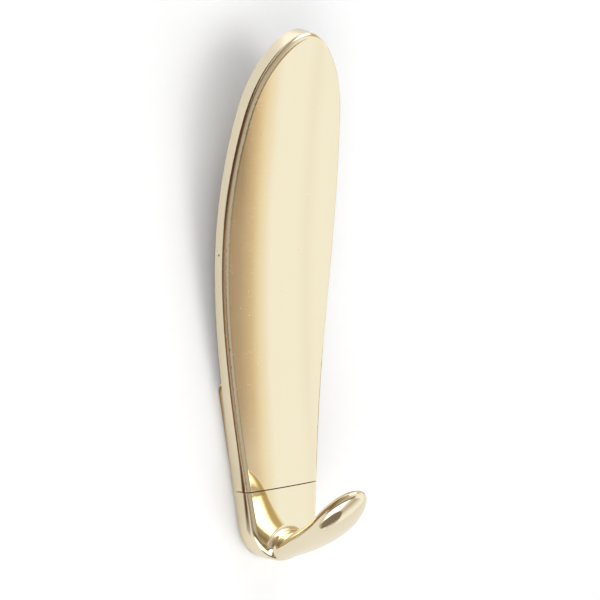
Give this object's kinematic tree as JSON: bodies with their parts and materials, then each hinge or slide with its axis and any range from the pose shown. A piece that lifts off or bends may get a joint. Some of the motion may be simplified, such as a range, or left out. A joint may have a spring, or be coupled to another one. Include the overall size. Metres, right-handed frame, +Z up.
{
  "type": "wall-mounted double hook",
  "caption": "Polished gold wall hook: a tall leaf-shaped blade that bends away from the wall above a short rising finger, held by a hidden bracket.",
  "frame": {"origin": "on the wall plane, midway between the two wall-screw holes", "axes": "+X to the right of someone facing the wall, +Y into the wall, +Z up the blade"},
  "size_m": [0.0392, 0.0398, 0.15],
  "materials": {
    "polished_gold": "mirror-polished pale gold, faintly dusty",
    "zinc_steel": "bright zinc plate"
  },
  "bodies": {
    "root": {"blade": "polished_gold", "lower_hook": "polished_gold", "wall_bracket": "zinc_steel", "hook_screws": "zinc_steel"}
  },
  "joints": []
}
